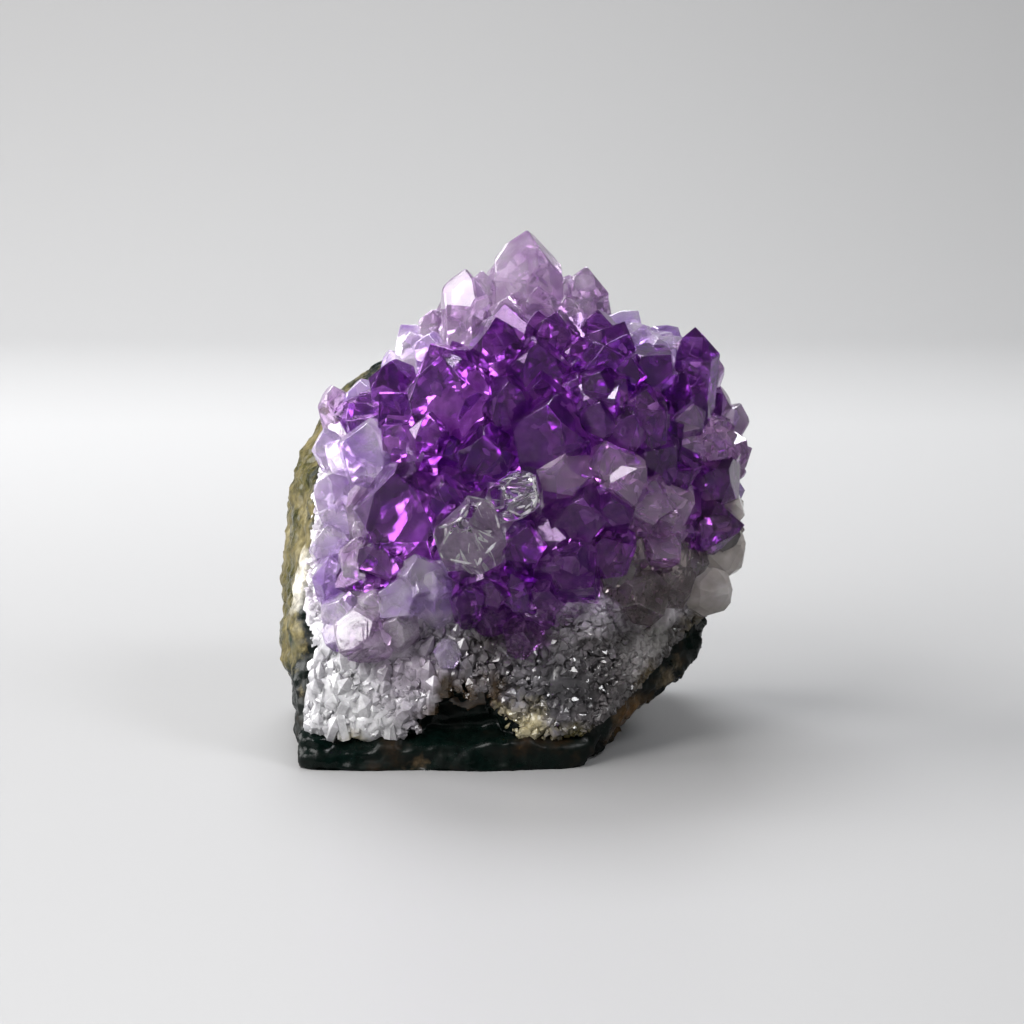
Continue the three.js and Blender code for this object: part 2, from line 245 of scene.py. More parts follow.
FLOAT, COLOUR, VECTOR = "NodeSocketFloat", "NodeSocketColor", "NodeSocketVector"


def clouds_group():
    """Noise that is fixed to the stone itself."""
    inputs = [("Scale", FLOAT, 200), ("Detail", FLOAT, 4), ("Roughness", FLOAT, 0.6)]
    group, start, end = shader_group("clouds in the stone", inputs, "Cloud", FLOAT)
    where = group.nodes.new("ShaderNodeTexCoord")
    texture = group.nodes.new("ShaderNodeTexNoise")
    group.links.new(where.outputs["Object"], texture.inputs["Vector"])
    for name in ("Scale", "Detail", "Roughness"):
        group.links.new(start[name], texture.inputs[name])
    group.links.new(texture.outputs["Fac"], end["Cloud"])
    return group


CLOUDS = clouds_group()


def rise_group():
    """A mask that runs from 0 to 1 along a way through the stone, between two distances."""
    inputs = [("Way", VECTOR, (0, 0, 1)), ("Start", FLOAT, 0), ("End", FLOAT, 1)]
    group, start, end = shader_group("rise along a way", inputs, "Rise", FLOAT)
    where = group.nodes.new("ShaderNodeTexCoord")
    far = group.nodes.new("ShaderNodeVectorMath")
    far.operation = "DOT_PRODUCT"
    group.links.new(where.outputs["Object"], far.inputs[0])
    group.links.new(start["Way"], far.inputs[1])
    group.links.new(ranged(group, far.outputs["Value"], start["Start"], start["End"]), end["Rise"])
    return group


RISE = rise_group()


def rise(tree, way, start, end):
    """The rise mask between two distances in millimetres."""
    return grouped(tree, RISE, Way=way, Start=start * MM, End=end * MM)


# How far, in millimetres, the edge of a patch wanders.
PATCH_RAGGED = 9


def stain_and_painted_light_group():
    """A ragged patch of another colour round a place on the stone."""
    inputs = [("Base", COLOUR, (1, 1, 1, 1)), ("Tint", COLOUR, (1, 1, 1, 1)), ("Place", VECTOR, (0, 0, 0))]
    inputs += [("Inner", FLOAT, 0.001), ("Outer", FLOAT, 0.002)]
    group, start, end = shader_group("patch of stain and painted light", inputs, "Color", COLOUR)
    where = group.nodes.new("ShaderNodeTexCoord")
    far = group.nodes.new("ShaderNodeVectorMath")
    far.operation = "DISTANCE"
    group.links.new(where.outputs["Object"], far.inputs[0])
    group.links.new(start["Place"], far.inputs[1])
    cloud = grouped(group, CLOUDS, Scale=260)
    half = PATCH_RAGGED * MM / 2
    ragged = math_node(group, "ADD", far.outputs["Value"], ranged(group, cloud, 0, 1, -half, half))
    mask = ranged(group, ragged, start["Outer"], start["Inner"])
    group.links.new(mix_colour(group, mask, start["Base"], start["Tint"]), end["Color"])
    return group


STAIN_AND_PAINTED_LIGHT = stain_and_painted_light_group()


def with_stains_and_painted_light(tree, base, patches):
    """A colour with a list of patches laid over it: stains, and painted light where a patch stands for it.
    """
    for place, inner, outer, tint in patches:
        place = tuple(v * MM for v in place)
        base = grouped(tree, STAIN_AND_PAINTED_LIGHT, Base=base, Tint=tint, Place=place, Inner=inner * MM, Outer=outer * MM)
    return base


def flecks_group():
    """Small lighter and darker flecks all over a colour."""
    inputs = [("Base", COLOUR, (1, 1, 1, 1)), ("Scale", FLOAT, 600)]
    inputs += [("Darkest", FLOAT, 0.7), ("Lightest", FLOAT, 1.2)]
    group, start, end = shader_group("flecks", inputs, "Color", COLOUR)
    cloud = grouped(group, CLOUDS, Scale=start["Scale"], Detail=5, Roughness=0.7)
    strength = ranged(group, cloud, 0.38, 0.62, start["Darkest"], start["Lightest"])
    group.links.new(mix_colour(group, 1, start["Base"], strength, "MULTIPLY"), end["Color"])
    return group


FLECKS = flecks_group()


def ramp(tree, source, stops):
    """Colours that follow a value, each at its own stop."""
    node = tree.nodes.new("ShaderNodeValToRGB")
    while len(node.color_ramp.elements) < len(stops):
        node.color_ramp.elements.new(0.5)
    for element, (at, colour) in zip(node.color_ramp.elements, stops):
        element.position = at
        element.color = (*colour, 1)
    tree.links.new(source, node.inputs["Fac"])
    return node.outputs["Color"]


def bump(tree, shader, height, distance, strength=1.0):
    node = tree.nodes.new("ShaderNodeBump")
    node.inputs["Distance"].default_value = distance
    node.inputs["Strength"].default_value = strength
    tree.links.new(height, node.inputs["Height"])
    tree.links.new(node.outputs["Normal"], shader.inputs["Normal"])


def step(low, high, value):
    """A smooth rise from 0 at low to 1 at high."""
    t = np.clip((value - low) / (high - low), 0, 1)
    return t * t * (3 - 2 * t)


def rough_at(points, size, height, seed):
    """Soft chance heights over some places, in lumps of one size."""
    shift = Vector((seed, 0, 0))
    return np.array([height * noise.fractal(Vector(p) / size + shift, 0.7, 2.0, 3) for p in points])


# How high the bare rind reaches at the front, and the hollow where the quartz broke off it.
RIND_BAND = 3.0
HOLLOW_HEIGHT = 6.2
HOLLOW_MIDDLE = -6.6
HOLLOW_HALF_WIDTH = 5.6


def rind_top_edge(points):
    """The upper edge of the bare rind at the front: a band with one rise at the hollow."""
    hollow = HOLLOW_HEIGHT * np.exp(-(((points[:, 0] - HOLLOW_MIDDLE) / HOLLOW_HALF_WIDTH) ** 4))
    return RIND_BAND + hollow + rough_at(points, 2.6, 1.3, 8)


def frontness(directions):
    """How far a direction belongs to the front of the rock: 0 or 1, with a soft edge."""
    return step(-0.35, -0.7, directions[:, 1])


def evenly_meshed(points, faces, size):
    """The same surface in even small faces, with the way each of its corners faces."""
    mesh = bpy.data.meshes.new("rock")
    mesh.from_pydata(points.tolist(), [], faces)
    thing = bpy.data.objects.new("rock", mesh)
    bpy.context.scene.collection.objects.link(thing)
    remesh = thing.modifiers.new("even", "REMESH")
    remesh.mode = "VOXEL"
    remesh.voxel_size = size
    graph = bpy.context.evaluated_depsgraph_get()
    even = bpy.data.meshes.new_from_object(thing.evaluated_get(graph))
    points = np.array([v.co[:] for v in even.vertices])
    normals = np.array([v.normal[:] for v in even.vertices])
    faces = [p.vertices[:] for p in even.polygons]
    bpy.data.objects.remove(thing)
    bpy.data.meshes.remove(even)
    return points, normals, faces


# How far the rind lies in under the quartz, how far its ledge at the foot comes out, how deep it
# is hollowed under the quartz's lower edge, and how far its chips may stand out.
RIND_UNDER_QUARTZ = 1.8
LEDGE = 1.5
RECESS = 2.4
RIND_RELIEF = 0.9


def rind_rock():
    """The rind as a chipped rock, smooth and layered at its front and left, cut flat below."""
    directions, faces = ball_of_directions(BALL_FINENESS)
    points = rock_surface(2, directions)
    quartz = rock_surface(1, directions)
    covered = np.linalg.norm(quartz - HEART, axis=1) - np.linalg.norm(points - HEART, axis=1)
    bare = frontness(directions) * step(2.5, 0.5, points[:, 2] - rind_top_edge(points))
    points -= directions * (RIND_UNDER_QUARTZ * step(0.1, 0.7, covered) * (1 - bare))[:, None]
    points, normals, faces = evenly_meshed(points, faces, ROCK_FINENESS)
    front = step(-0.4, -0.8, normals[:, 1])
    edge = rind_top_edge(points)
    high = points[:, 2]
    ledge = LEDGE * step(4.6, 2.8, high + rough_at(points, 6, 1.7, 4)) * step(15, 5, points[:, 0])
    recess = RECESS * step(1.2, -0.6, high - edge) * step(3.6, 5.0, high)
    points += normals * (front * (ledge - recess))[:, None]
    layered = points / np.array([9, 9, 2.6])
    smooth_side = np.maximum(front, 0.75 * step(-0.5, -0.8, normals[:, 0]))
    for i, point in enumerate(points):
        chips = 2.0 * chipped(point, 6.5, 1) + 0.9 * chipped(point, 2.8, 2)
        smooth = 0.8 * noise.fractal(Vector(layered[i]), 0.8, 2.0, 2)
        rough = smooth * smooth_side[i] + chips * (1 - smooth_side[i])
        rough += 0.2 * noise.fractal(Vector(point) * 0.7, 0.6, 2.0, 3)
        points[i] = point + normals[i] * min(rough, RIND_RELIEF)
    points[:, 2] = np.maximum(points[:, 2], 0)
    return points, faces


# Stains, weathered patches and a painted highlight: middle, inner and outer radius, colour.
RIND_PATCHES = [
    ((-31, -9, 23), 2, 6, (0.6, 0.57, 0.5)),  # cream painted highlight, left edge
    ((-31, -9, 14.5), 1, 4.5, (0.012, 0.02, 0.01)),  # dark green, left edge
    ((-12.5, -19, 0.8), 0.5, 2, (0.08, 0.055, 0.03)),  # tan streak at the foot
    ((17, -13, 3.5), 2, 5.5, (0.085, 0.045, 0.014)),  # brown, lower right
    ((22.5, -12, 10.5), 1.5, 4.5, (0.13, 0.1, 0.06)),  # tan, right
    ((24.5, -10, 16), 1, 4, (0.09, 0.085, 0.035)),  # olive, right
]


def rind_look():
    """Fresh dark rock with a dull wet gloss, weathered to olive and tan on the left side."""
    material, tree, shader = new_material("basalt rind", 0.5)
    patches = grouped(tree, CLOUDS, Scale=150, Detail=6, Roughness=0.65)
    fresh = [(0.3, (0.001, 0.005, 0.004)), (0.56, (0.002, 0.004, 0.003))]
    fresh += [(0.66, (0.012, 0.007, 0.003)), (0.78, (0.06, 0.04, 0.016))]
    weathered = [(0.3, (0.006, 0.01, 0.004)), (0.44, (0.045, 0.042, 0.014))]
    weathered += [(0.58, (0.11, 0.09, 0.035)), (0.74, (0.24, 0.21, 0.12))]
    side = rise(tree, (0.97, -0.25, 0), -20, -31)
    off_the_foot = rise(tree, (0, 0, 1), 5, 11)
    weather = math_node(tree, "MULTIPLY", side, off_the_foot)
    ragged = math_node(tree, "ADD", weather, ranged(tree, patches, 0.35, 0.65, -0.35, 0.35))
    weather = ranged(tree, ragged, 0.4, 0.62)
    colour = mix_colour(tree, weather, ramp(tree, patches, fresh), ramp(tree, patches, weathered))
    colour = with_stains_and_painted_light(tree, colour, RIND_PATCHES)
    colour = grouped(tree, FLECKS, Base=colour, Scale=900, Darkest=0.6, Lightest=1.3)
    tree.links.new(colour, shader.inputs["Base Color"])
    tree.links.new(ranged(tree, patches, 0.4, 0.6, 0.12, 0.45), shader.inputs["Roughness"])
    shader.inputs["Specular IOR Level"].default_value = 0.13
    bump(tree, shader, grouped(tree, CLOUDS, Scale=900, Detail=5, Roughness=0.7), 0.00015, 0.25)
    return material


points, faces = rind_rock()
mesh_piece("basalt_rind", points, faces, rind_look(), "rind", smooth=True)

# ---- the quartz crust ------------------------------------------------------------------------
# Grey-white quartz between the rind and the points: a mass of small grains that grew into each
# other, most of them broken, with glinting faces. A hollow at its foot shows the rind.

# The slanting level that parts the foot of bare quartz from the druse above it.
FOOT_OUT = unit((-0.15, 0.1, 1))
FOOT_FAR = float(np.array([0, -18.2, 19.5]) @ FOOT_OUT)


# How deep the quartz is broken away off the rind, and how far its lumps may stand out.
BROKEN_OFF = 4.5
CRUST_RELIEF = 0.7


def crust_rock():
    """The body of the crust: sugary at the right, low upright lumps at the left."""
    directions, faces = ball_of_directions(BALL_FINENESS)
    points = rock_surface(1, directions)
    broken = BROKEN_OFF * frontness(directions)
    broken *= step(0.6, -0.8, points[:, 2] - rind_top_edge(points))
    points -= directions * broken[:, None]
    points, normals, faces = evenly_meshed(points, faces, ROCK_FINENESS)
    columns = points / np.array([1, 1, 3.6])
    for i, point in enumerate(points):
        sugary = 1 if point[0] > 2 else step(10, 7, point[2])
        relief = 0.9 * noise.fractal(Vector(point) / 5, 0.8, 2.0, 3) - 0.2
        relief += 1.1 * chipped(columns[i], 2.0, 7) * (1 - sugary)
        relief += (0.9 * chipped(point, 2.6, 5) + 0.4 * chipped(point, 1.2, 6)) * (0.4 + 0.6 * sugary)
        points[i] = point + normals[i] * min(relief, CRUST_RELIEF)
    return points, faces


# Stains, clouds and painted shade in the crust: middle, inner and outer radius, colour.
CRUST_PATCHES = [
    ((-26, -11, 13), 3, 8, (0.92, 0.91, 0.94)),  # frosted white, left edge
    ((-20, -18, 6), 2, 7, (0.8, 0.79, 0.81)),  # sugary white at the foot
    ((-21, -18, 3), 0.5, 2.5, (0.66, 0.6, 0.42)),  # cream along the lower edge
    ((-13, -17, 13), 2, 8, (0.46, 0.4, 0.48)),  # lilac-grey below the druse
    ((6, -15.5, 10), 3, 9, (0.07, 0.066, 0.072)),  # dark and clear, middle
    ((-6.6, -17.5, 7.5), 4, 6.5, (0.07, 0.045, 0.025)),  # dark brown round the hollow: painted shade, partly brown stain
    ((1.2, -18, 5), 2, 4.6, (0.5, 0.44, 0.27)),  # cream beside the hollow
    ((8, -17.5, 3), 1, 4, (0.14, 0.12, 0.045)),  # olive along the rind
    ((15.5, -13, 13.5), 1, 4.5, (0.5, 0.47, 0.47)),  # white grains, right
    ((19.5, -11, 17.5), 1, 4, (0.42, 0.4, 0.38)),  # white grains, right
    ((18, -12, 9), 1, 4, (0.12, 0.09, 0.05)),  # brown along the rind, right
    ((26, -7, 15), 1, 4.5, (0.2, 0.16, 0.07)),  # olive under the overhang
]


# Under the clear points the crust is violet.
UNDER_CLEAR_POINTS = [((-3, -15, 28), 6, 9, (0.6, 0.44, 0.66))]
QUARTZ_IOR = 1.544


def crust_look(name, clarity, rough):
    """Cloudy quartz, lilac where the druse begins; dark at the right and white at the left, partly its own
    colour and partly painted light from the left.
    """
    material, tree, shader = new_material(name, rough)
    cloud = math_node(tree, "MULTIPLY", grouped(tree, CLOUDS, Scale=130, Detail=5), 0.9)
    # Paler toward the left: partly the crust's own white, partly painted light from the left side.
    white_and_painted_light_left = math_node(tree, "MULTIPLY", rise(tree, (1, 0, 0), 16, -26), 0.45)
    shades = [(0.4, (0.07, 0.061, 0.056)), (0.56, (0.155, 0.138, 0.142))]
    shades += [(0.72, (0.36, 0.335, 0.37)), (0.9, (0.7, 0.69, 0.72))]
    base = ramp(tree, math_node(tree, "ADD", white_and_painted_light_left, cloud), shades)
    base = with_stains_and_painted_light(tree, base, CRUST_PATCHES)
    base = mix_colour(tree, rise(tree, (0, 0, 1), 16.5, 21), base, (0.84, 0.78, 0.87))
    base = with_stains_and_painted_light(tree, base, UNDER_CLEAR_POINTS)
    base = grouped(tree, FLECKS, Base=base, Scale=600, Darkest=0.75, Lightest=1.2)
    tree.links.new(base, shader.inputs["Base Color"])
    shader.inputs["Transmission Weight"].default_value = clarity
    shader.inputs["IOR"].default_value = QUARTZ_IOR
    shader.inputs["Subsurface Weight"].default_value = 0.35
    shader.inputs["Subsurface Radius"].default_value = (1, 0.95, 1)
    shader.inputs["Subsurface Scale"].default_value = 0.0012
    bump(tree, shader, grouped(tree, CLOUDS, Scale=1300), 0.00015, 0.3)
    return material


crust_material = crust_look("crust quartz", 0.3, 0.26)
points, faces = crust_rock()
mesh_piece("crust_rock", points, faces, crust_material, "quartz_crust", smooth=True)

GRAIN_COUNT = 4100
GRAIN_SIZES = (0.45, 2.3)
# The left side of the cluster is a break with grains on it, and grains end toward the back.
BROKEN_SIDE = -24.5
GRAINS_END = 8
# How much farther out than the rind the crust must lie for it to show.
CRUST_SHOWS = 0.25


def hull_shape(corners):
    """The corners and faces of the convex body round some corners."""
    bm = bmesh.new()
    for corner in corners:
        bm.verts.new(corner)
    hull = bmesh.ops.convex_hull(bm, input=bm.verts)
    bmesh.ops.delete(bm, geom=[v for v in hull["geom_interior"] if v.is_valid], context="VERTS")
    bm.verts.index_update()
    shape = (np.array([v.co[:] for v in bm.verts]), [[v.index for v in f.verts] for f in bm.faces])
    bm.free()
    return shape


def grain_shapes(count):
    """A few blocky grains, each with a handful of chance corners."""
    chance = Chance(77)
    shapes = []
    for _ in range(count):
        corners = []
        for _ in range(13):
            corner = unit([chance.between(-1, 1) for _ in range(3)]) * chance.between(0.86, 1.06)
            corners.append(corner * (0.85, 0.85, 1.05))
        shapes.append(hull_shape(corners))
    return shapes


def column_shapes(count):
    """A few short six-sided columns with an uneven blunt tip."""
    chance = Chance(78)
    shapes = []
    for _ in range(count):
        corners = [(chance.between(-0.3, 0.3), chance.between(-0.3, 0.3), 1)]
        for k in range(6):
            a = math.pi / 3 * k
            out = chance.between(0.85, 1.1)
            corners.append((out * math.cos(a), out * math.sin(a), -1))
            corners.append((out * math.cos(a), out * math.sin(a), chance.between(0.2, 0.65)))
        shapes.append(hull_shape(corners))
    return shapes


def bare_crust(way):
    """Where the crust lies along a way, or nothing where the rind covers it."""
    outer = rock_surface(1, way[None])[0]
    rind = rock_surface(2, way[None])[0]
    if np.linalg.norm(rind - HEART) > np.linalg.norm(outer - HEART) - CRUST_SHOWS:
        return None
    return outer


def crust_grains():
    """Blocky grains all over the foot of the crust and its broken side."""
    shapes = grain_shapes(14)
    chance = Chance(31)
    points, faces = [], []
    start = 0
    placed = 0
    while placed < GRAIN_COUNT:
        way = unit([chance.between(-1, 1), chance.between(-1, 0.5), chance.between(-1, 0.4)])
        size = GRAIN_SIZES[0] + (GRAIN_SIZES[1] - GRAIN_SIZES[0]) * chance.next() ** 2.2
        turn = [chance.between(-1, 1) for _ in range(6)]
        shape_corners, shape_faces = shapes[int(chance.next() * len(shapes))]
        outer = bare_crust(way)
        if outer is None or outer[1] > GRAINS_END:
            continue
        if outer @ FOOT_OUT > FOOT_FAR + 2 and outer[0] > BROKEN_SIDE:
            continue
        if way[1] < -0.5 and outer[2] < rind_top_edge(outer[None])[0] + 0.3:
            continue
        x = unit(turn[:3])
        z = unit(np.cross(x, turn[3:]))
        frame_of_grain = np.array([x, np.cross(z, x), z])
        centre = outer - way * size * 0.2
        points.append(shape_corners @ frame_of_grain * size / 2 + centre)
        faces += [[i + start for i in f] for f in shape_faces]
        start += len(shape_corners)
        placed += 1
    return np.concatenate(points), faces


grain_material = crust_look("crust grains", 0.42, 0.16)
points, faces = crust_grains()
mesh_piece("crust_grains", points, faces, grain_material, "quartz_crust")

COLUMN_COUNT = 120


def crust_columns():
    """Low blocky columns of quartz that stand side by side below the druse, at the left."""
    shapes = column_shapes(10)
    chance = Chance(63)
    points, faces = [], []
    start = 0
    for _ in range(COLUMN_COUNT):
        aim = np.array([chance.between(-25, -4), -15, chance.between(6, 18)])
        wide = chance.between(1.1, 2.5)
        tall = wide * chance.between(1.3, 2.6)
        lean = [chance.between(-0.3, 0.5), chance.between(-0.7, 0), 1]
        turn = chance.between(0, 6.3)
        shape_corners, shape_faces = shapes[int(chance.next() * len(shapes))]
        way = unit(aim - HEART)
        outer = rock_surface(1, way[None])[0]
        if outer[2] < rind_top_edge(outer[None])[0] + 1.5:
            continue
        z = unit(lean)
        x = unit(np.cross((math.cos(turn), math.sin(turn), 0), z))
        column = np.array([x * wide / 2, np.cross(z, x) * wide / 2, z * tall / 2])
        points.append(shape_corners @ column + outer - way * wide * 0.2)
        faces += [[i + start for i in f] for f in shape_faces]
        start += len(shape_corners)
    return np.concatenate(points), faces


points, faces = crust_columns()
mesh_piece("crust_columns", points, faces, grain_material, "quartz_crust")

# ---- the two clear points --------------------------------------------------------------------
# Two colourless quartz points in the middle of the druse, clear as glass, with bright cracks and a
# little white sugar sealed in them, and white sheets inside their edges as painted glints. Each is a
# six-sided prism with a six-faced tip, three of the faces larger than the others, grown outward from
# the crust.

# The slope of the tip faces, how deep a point is rooted, and how unequal its tip faces are.
FACE_SLOPE = math.radians(51.8)
ROOT = 3.5
UNEVEN = (0.04, 0.26)
# Where the onlooker's eye is, and the place it looks at.
EYE = np.array([-0.26, -332.96, 89.0])
SEEN_MIDDLE = np.array([-0.26, 1.84, 30.0])
# Where a point leaves the crust as seen from the front, how far its tip is seen from there, how tall
# and wide it is, and how far it is turned about itself.
CLEAR_POINTS = [
    ("clear_point_lower", (-4.1, -5.2), (-2, 4.2), 12.5, 8.6, 10),
    ("clear_point_upper", (-3.4, 1.4), (6.4, 1.4), 11.6, 5.6, 38),
]
# How far their edges are worn, and the gap left round them in the druse.
CLEAR_WEAR = 0.32
CLEAR_GAP = 0.06

crust_node = frame["nodes"]["quartz_crust"]
CRUST_TREE = BVHTree.FromPolygons(
    [v.co / MM for v in crust_node.data.vertices], [p.vertices[:] for p in crust_node.data.polygons]
)
# A point has 13 faces; every corner is where three of them meet.
TRIPLES = [list(three) for three in itertools.combinations(range(13), 3)]


def point_faces(wide, tall, chance):
    """The faces that shut a quartz point in: outward direction and distance."""
    uneven = chance.between(*UNEVEN)
    faces = [(np.array([0, 0, -1.0]), ROOT)]
    for i in range(6):
        side = i * math.pi / 3
        across = np.array([math.cos(side), math.sin(side), 0])
        faces.append((across, wide / 2 * chance.between(0.86, 1.12)))
        out = across * math.sin(FACE_SLOPE)
        out[2] = math.cos(FACE_SLOPE)
        back = (i % 2) * uneven + chance.between(0, 0.06)
        faces.append((out, out[2] * tall + back * wide))
    return faces


def lean_and_turn(way, turn):
    """The turn about a point's own axis, then the lean of that axis from +Z to way."""
    a = math.radians(turn)
    spin = np.array([[math.cos(a), -math.sin(a), 0], [math.sin(a), math.cos(a), 0], [0, 0, 1]])
    axis = np.cross((0, 0, 1), way)
    cross = np.array([[0, -axis[2], axis[1]], [axis[2], 0, -axis[0]], [-axis[1], axis[0], 0]])
    lean = np.eye(3) + cross + cross @ cross / (1 + way[2])
    return lean @ spin


# How far the edges of a point are worn, in millimetres.
EDGE_WEAR = 0.09


class Point:
    """A quartz point: the faces that shut it in, and its root, axis and sizes."""

    def __init__(self, root, way, tall, wide, turn, chance, tint):
        self.root = root
        self.way = unit(way)
        self.tall = tall
        self.wide = wide
        self.tint = tint
        faces = point_faces(wide, tall, chance)
        self.outs = np.array([f[0] for f in faces]) @ lean_and_turn(self.way, turn).T
        self.fars = np.array([f[1] for f in faces])

    def corners(self, grown=0.0):
        """The corners of the point, its faces moved out by some distance."""
        fars = self.fars + grown
        corners = []
        for three in TRIPLES:
            outs = self.outs[three]
            if abs(np.linalg.det(outs)) < 1e-6:
                continue
            corner = np.linalg.solve(outs, fars[three])
            if (self.outs @ corner < fars + 1e-6).all():
                corners.append(corner)
        return np.array(corners) + self.root

    def worn(self, wear=EDGE_WEAR):
        """The corners of the point with its edges worn: every face drawn in a little."""
        corners = self.corners() - self.root
        worn = []
        for out, far in zip(self.outs, self.fars):
            rim = corners[np.abs(corners @ out - far) < 1e-4]
            if len(rim) < 3:
                continue
            inward = rim.mean(axis=0) - rim
            reach = np.linalg.norm(inward, axis=1, keepdims=True)
            worn.append(rim + inward * np.minimum(wear / np.maximum(reach, 1e-6), 0.45))
        return np.concatenate(worn) + self.root

    def depth_of(self, place):
        """How deep a place is inside the point; negative outside."""
        return (self.fars - self.outs @ (place - self.root)).min()


def seen_point(at, tip, tall, wide, turn, chance, tint):
    """A point given by where its root and its tip are seen from the front."""
    right = np.array([1.0, 0, 0])
    nearer = unit(EYE - SEEN_MIDDLE)
    up = np.cross(nearer, right)
    seen = SEEN_MIDDLE + right * at[0] + up * at[1]
    root = np.array(CRUST_TREE.ray_cast(Vector(EYE), Vector(unit(seen - EYE)))[0])
    toward = math.sqrt(tall**2 - tip[0] ** 2 - tip[1] ** 2)
    way = right * tip[0] + up * tip[1] + nearer * toward
    return Point(root, way, tall, wide, turn, chance, tint)


def hull_mesh(corner_sets, name="hulls"):
    """One mesh of closed convex bodies."""
    joined = bmesh.new()
    mesh = bpy.data.meshes.new(name)
    for corners in corner_sets:
        bm = bmesh.new()
        for corner in corners:
            bm.verts.new(corner)
        bmesh.ops.remove_doubles(bm, verts=bm.verts, dist=1e-4)
        hull = bmesh.ops.convex_hull(bm, input=bm.verts)
        bmesh.ops.delete(bm, geom=[v for v in hull["geom_interior"] if v.is_valid], context="VERTS")
        bmesh.ops.recalc_face_normals(bm, faces=bm.faces)
        one = bpy.data.meshes.new("one")
        bm.to_mesh(one)
        bm.free()
        joined.from_mesh(one)
        bpy.data.meshes.remove(one)
    joined.to_mesh(mesh)
    joined.free()
    return mesh


def object_of(mesh):
    """An object in the scene for a mesh."""
    thing = bpy.data.objects.new(mesh.name, mesh)
    bpy.context.scene.collection.objects.link(thing)
    return thing


def union_of(corner_sets, name):
    """All the bodies grown into one closed solid."""
    collection = bpy.data.collections.new(name)
    bpy.context.scene.collection.children.link(collection)
    parts = []
    for corners in corner_sets:
        part = bpy.data.objects.new(name, hull_mesh([corners]))
        collection.objects.link(part)
        parts.append(part)
    first = parts[0]
    collection.objects.unlink(first)
    bpy.context.scene.collection.objects.link(first)
    modifier = first.modifiers.new("join", "BOOLEAN")
    modifier.operation = "UNION"
    modifier.operand_type = "COLLECTION"
    modifier.collection = collection
    modifier.solver = "MANIFOLD"
    return settled(first, [collection])


def settled(thing, spent=()):
    """The object's mesh with its modifiers worked in; the objects used up go."""
    graph = bpy.context.evaluated_depsgraph_get()
    mesh = bpy.data.meshes.new_from_object(thing.evaluated_get(graph))
    thing.modifiers.clear()
    thing.data = mesh
    for collection in spent:
        for part in list(collection.objects):
            bpy.data.objects.remove(part)
        bpy.data.collections.remove(collection)
    return thing


def cut(thing, tools):
    """Take some bodies out of an object."""
    for tool in tools:
        modifier = thing.modifiers.new("cut", "BOOLEAN")
        modifier.operation = "DIFFERENCE"
        modifier.object = tool
        modifier.solver = "MANIFOLD"
    settled(thing)


# How finely the bodies of crust and rind are divided that the crystals are cut with.
TOOL_FINENESS = 5


def rock_object(layer, grown):
    """The crust or the rind as a body to cut with, grown by some distance."""
    directions, faces = ball_of_directions(TOOL_FINENESS)
    mesh = bpy.data.meshes.new("rock")
    mesh.from_pydata(rock_surface(layer, directions, grown).tolist(), [], faces)
    return object_of(mesh)


crust_tool = rock_object(1, 0.15)
rind_tool = rock_object(2, 0.3)


def crystal_look(name, look):
    """Clear or violet quartz: what it lets through, its cloudy colour and the colour inside."""
    material, tree, shader = new_material(name, look["rough"])
    cloud = grouped(tree, CLOUDS, Scale=170, Roughness=0.55)
    base = ramp(tree, cloud, [(0.36, look["dark"]), (0.64, look["light"])])
    tree.links.new(base, shader.inputs["Base Color"])
    shader.inputs["Transmission Weight"].default_value = look["clarity"]
    shader.inputs["IOR"].default_value = QUARTZ_IOR
    shader.inputs["Specular Tint"].default_value = (*look["shine"], 1)
    bump(tree, shader, grouped(tree, CLOUDS, Scale=420, Detail=3, Roughness=0.5), 0.0002, look["wavy"])
    absorb = tree.nodes.new("ShaderNodeVolumeAbsorption")
    absorb.inputs["Color"].default_value = (*look["inside"], 1)
    absorb.inputs["Density"].default_value = look["strength"]
    tree.links.new(absorb.outputs["Volume"], tree.nodes["Material Output"].inputs["Volume"])
    return material


def finish_crystals(thing, material, node):
    """Crystals from millimetres to metres, with their material, in place of one of the solids."""
    thing.data.transform(Matrix.Scale(MM, 4))
    thing.data.materials.clear()
    thing.data.materials.append(material)
    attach(thing, "root")
    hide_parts(node)


# How many corners the rim of a crack has, and its thickness as a share of the middle's.
RIM = 7
RIM_THICKNESS = 0.3


def lens(centre, long, across, facing, thick, bend, ring):
    """The corners and faces of one closed body, thin as a crack, with a ragged bent rim."""
    corners, faces = [], []
    for side in (-thick, thick):
        for k in range(RIM):
            a = 2 * math.pi * k / RIM
            rim = (long * math.cos(a) + across * math.sin(a)) * ring[k]
            corners.append(centre + rim + facing * (bend[k] + side * RIM_THICKNESS))
        corners.append(centre + facing * side)
    other = RIM + 1
    for k in range(RIM):
        n = (k + 1) % RIM
        faces.append([k, RIM, n])
        faces.append([other + n, other + RIM, other + k])
        faces.append([k, n, other + n, other + k])
    return corners, faces


